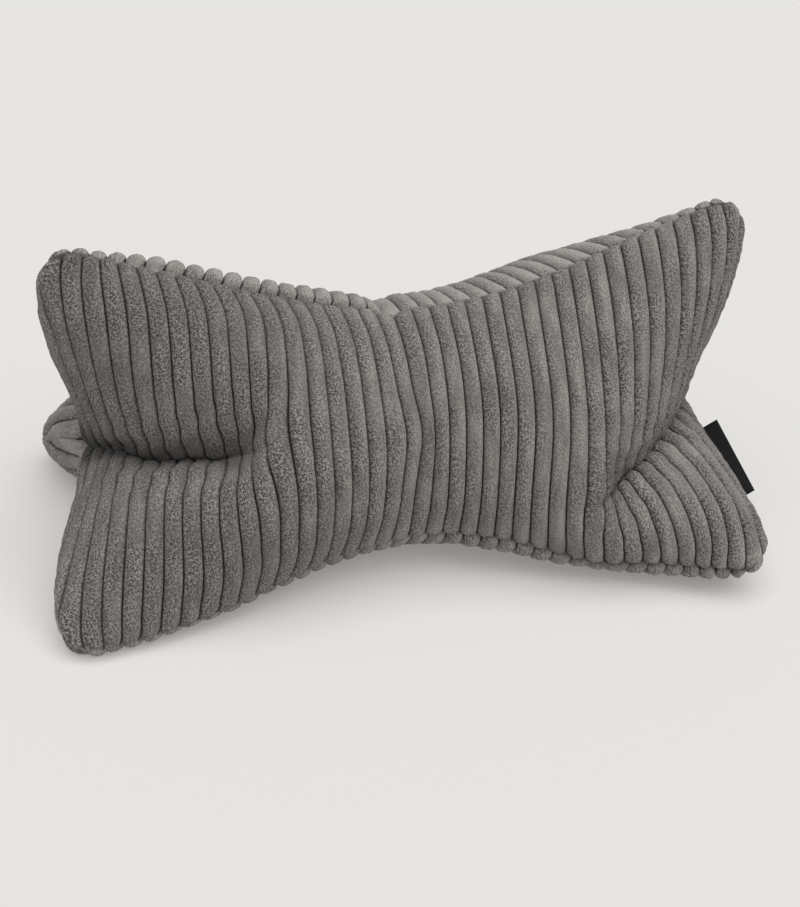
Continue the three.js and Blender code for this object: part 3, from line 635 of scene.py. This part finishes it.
pillow = make_object("pillow_cover", skin, cover.quads, corduroy())
uv = pillow.data.uv_layers.new(name="cloth_mm")
corner_uv = []
for k in range(3):
    place = np.stack([P[k] - WALE["phase"][k] + 62 * WALE["pitch"] * k, Q], -1)
    corner_uv.append(np.stack([place[:-1, :-1], place[:-1, 1:], place[1:, 1:], place[1:, :-1]], 2).reshape(-1, 2))
uv.data.foreach_set("uv", np.concatenate(corner_uv).ravel())
side = pillow.data.attributes.new("flank", "FLOAT", "POINT")
side.data.foreach_set("value", gather(cover, flank))
# painted light and shade in the colour: lighter on the rear, a little lighter on the base, darker on the left lobes of
# the front and darker still beside its folds
lie = np.stack([(0.45 + 0.55 * smooth((Q + 60) / 60)) * smooth((235 - np.abs(P[0])) / 40), np.full(P[0].shape, 0.3), -0.23 * smooth((-P[2] - 15) / 110) - 0.77 * fold_shade[2]])
painted_light_shade = pillow.data.attributes.new("painted_light_shade", "FLOAT", "POINT")
painted_light_shade.data.foreach_set("value", gather(cover, lie))
# painted shade: the wale profile, cut down along the fold creases, makes the colour darker down in the grooves and in
# the creases
wale = pillow.data.attributes.new("wale", "FLOAT", "POINT")
wale.data.foreach_set("value", gather(cover, ridge * (1 - 0.93 * crease)))


def folded_label():
    """A tape folded once: out of the seam, round at its outer edge and back into the seam."""
    g = cover.grid[LABEL["seam"]][-1 if LABEL["end"] > 0 else 0, COVER["rows"]:]
    line, share = skin[g], T1[COVER["rows"]:]

    def at(f, table):
        return np.stack([np.interp(f, share, table[:, c]) for c in range(3)], -1)

    stations = np.linspace(LABEL["start"], LABEL["stop"], 37)
    root = at(stations, line)
    chord = root[-1] - root[0]
    long = np.linalg.norm(chord)
    chord /= long
    lean = math.radians(LABEL["lean_deg"])
    out = np.array([LABEL["end"] * math.cos(lean), 0, math.sin(lean)])
    out -= chord * (out @ chord)
    out /= np.linalg.norm(out)
    flat = np.cross(chord, out)
    rim = ((root - root[0]) @ out).max() + LABEL["proud"]
    r = LABEL["tape"] * 0.62
    straight_way = np.linspace(0, 1, 13)
    points, coords = [], []
    for s, here in enumerate(root):
        along = long * s / (len(root) - 1)
        brim = rim + LABEL["slant"] * (1 - 2 * s / (len(root) - 1))
        base = root[0] + chord * along
        low = (here - root[0]) @ out - LABEL["root"]
        sway = ((here - base) @ flat) * 0.6
        mid = []
        for side in (1, -1):
            ways = straight_way if side > 0 else straight_way[::-1]
            for w in ways:
                o = low + (brim - r - low) * w
                mid.append((o, side * r * (0.75 + 0.25 * w)))
            if side > 0:
                mid += [(brim - r + r * math.sin(a), r * math.cos(a)) for a in np.linspace(0, math.pi, 9)[1:-1]]
        mid = np.array(mid)
        run = np.concatenate([[0], np.cumsum(np.hypot(*np.diff(mid, axis=0).T))])
        way = np.gradient(mid, axis=0)
        way /= np.linalg.norm(way, axis=1)[:, None]
        thick = np.stack([way[:, 1], -way[:, 0]], 1) * LABEL["tape"] / 2
        bow = 0.5 * math.sin(math.pi * s / (len(root) - 1))
        for ring in (mid - thick, mid + thick):
            for (o, l), u in zip(ring, run):
                lean = bow * max(o, 0) / LABEL["proud"]
                points.append(base + out * o + flat * (l + sway + lean))
                coords.append((along, u))
    n_ring, faces = len(mid), []
    per = 2 * n_ring
    for s in range(len(root) - 1):
        a, b = s * per, (s + 1) * per
        for i in range(n_ring - 1):
            faces += [(a + i, b + i, b + i + 1, a + i + 1), (a + n_ring + i + 1, b + n_ring + i + 1, b + n_ring + i, a + n_ring + i)]
        faces += [(a + n_ring, b + n_ring, b, a), (a + n_ring - 1, b + n_ring - 1, b + per - 1, a + per - 1)]
    for s, turn in ((0, 1), (len(root) - 1, -1)):
        a = s * per
        for i in range(n_ring - 1):
            faces.append((a + i, a + i + 1, a + n_ring + i + 1, a + n_ring + i)[::turn])
    return np.array(points), faces, np.array(coords), long, run[-1]


label_points, label_faces, label_coords, label_long, label_wide = folded_label()
label = make_object("woven_label", label_points, label_faces, woven_black())
uv = label.data.uv_layers.new(name="tape_mm")
uv.data.foreach_set("uv", label_coords[[v for f in label_faces for v in f]].ravel())
label.data.validate()

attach(pillow, "root")
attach(label, "root")
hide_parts("pillow_body")
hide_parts("side_label")

# ------------------------------------------------------------------ floor, light and camera

bpy.ops.mesh.primitive_plane_add(size=14.0, location=(0, 0, -0.0004))
floor = bpy.context.object
floor.name = "floor"
floor.data.materials.append(pale_glowing_floor())

world = bpy.data.worlds.new("studio")
bpy.context.scene.world = world
world.use_nodes = True
world.node_tree.nodes["Background"].inputs["Color"].default_value = (1.0, 0.995, 0.99, 1)
world.node_tree.nodes["Background"].inputs["Strength"].default_value = 0.26


def soft_sun(name, toward, strength, angle_deg):
    data = bpy.data.lights.new(name, "SUN")
    data.energy, data.angle = strength, math.radians(angle_deg)
    lamp = bpy.data.objects.new(name, data)
    lamp.rotation_mode = "QUATERNION"
    lamp.rotation_quaternion = Vector(toward).to_track_quat("-Z", "Y")
    bpy.context.scene.collection.objects.link(lamp)


soft_sun("key", (-0.06, 0.30, -0.95), 2.50, 75)

scene = bpy.context.scene
scene.view_settings.view_transform = "Standard"
scene.view_settings.look = "None"

az, el, roll = (math.radians(CAMERA[k]) for k in ("azimuth", "elevation", "roll"))
back = Vector((math.sin(az) * math.cos(el), -math.cos(az) * math.cos(el), math.sin(el)))
right = Vector((math.cos(az), math.sin(az), 0))
up = back.cross(right)
right, up = right * math.cos(roll) + up * math.sin(roll), up * math.cos(roll) - right * math.sin(roll)
cam_data = bpy.data.cameras.new("camera")
cam_data.sensor_width = 36.0
cam_data.sensor_fit = "AUTO"
cam_data.lens = CAMERA["focal_px"] / max(FRAME_PX) * 36.0
cam_data.clip_start, cam_data.clip_end = 0.01, 50
cam = bpy.data.objects.new("camera", cam_data)
eye = (Vector(CAMERA["target"]) + Vector(shift) + back * CAMERA["distance"]) * MM
cam.matrix_world = Matrix.Translation(eye) @ Matrix((right, up, back)).transposed().to_4x4()
scene.collection.objects.link(cam)
scene.camera = cam
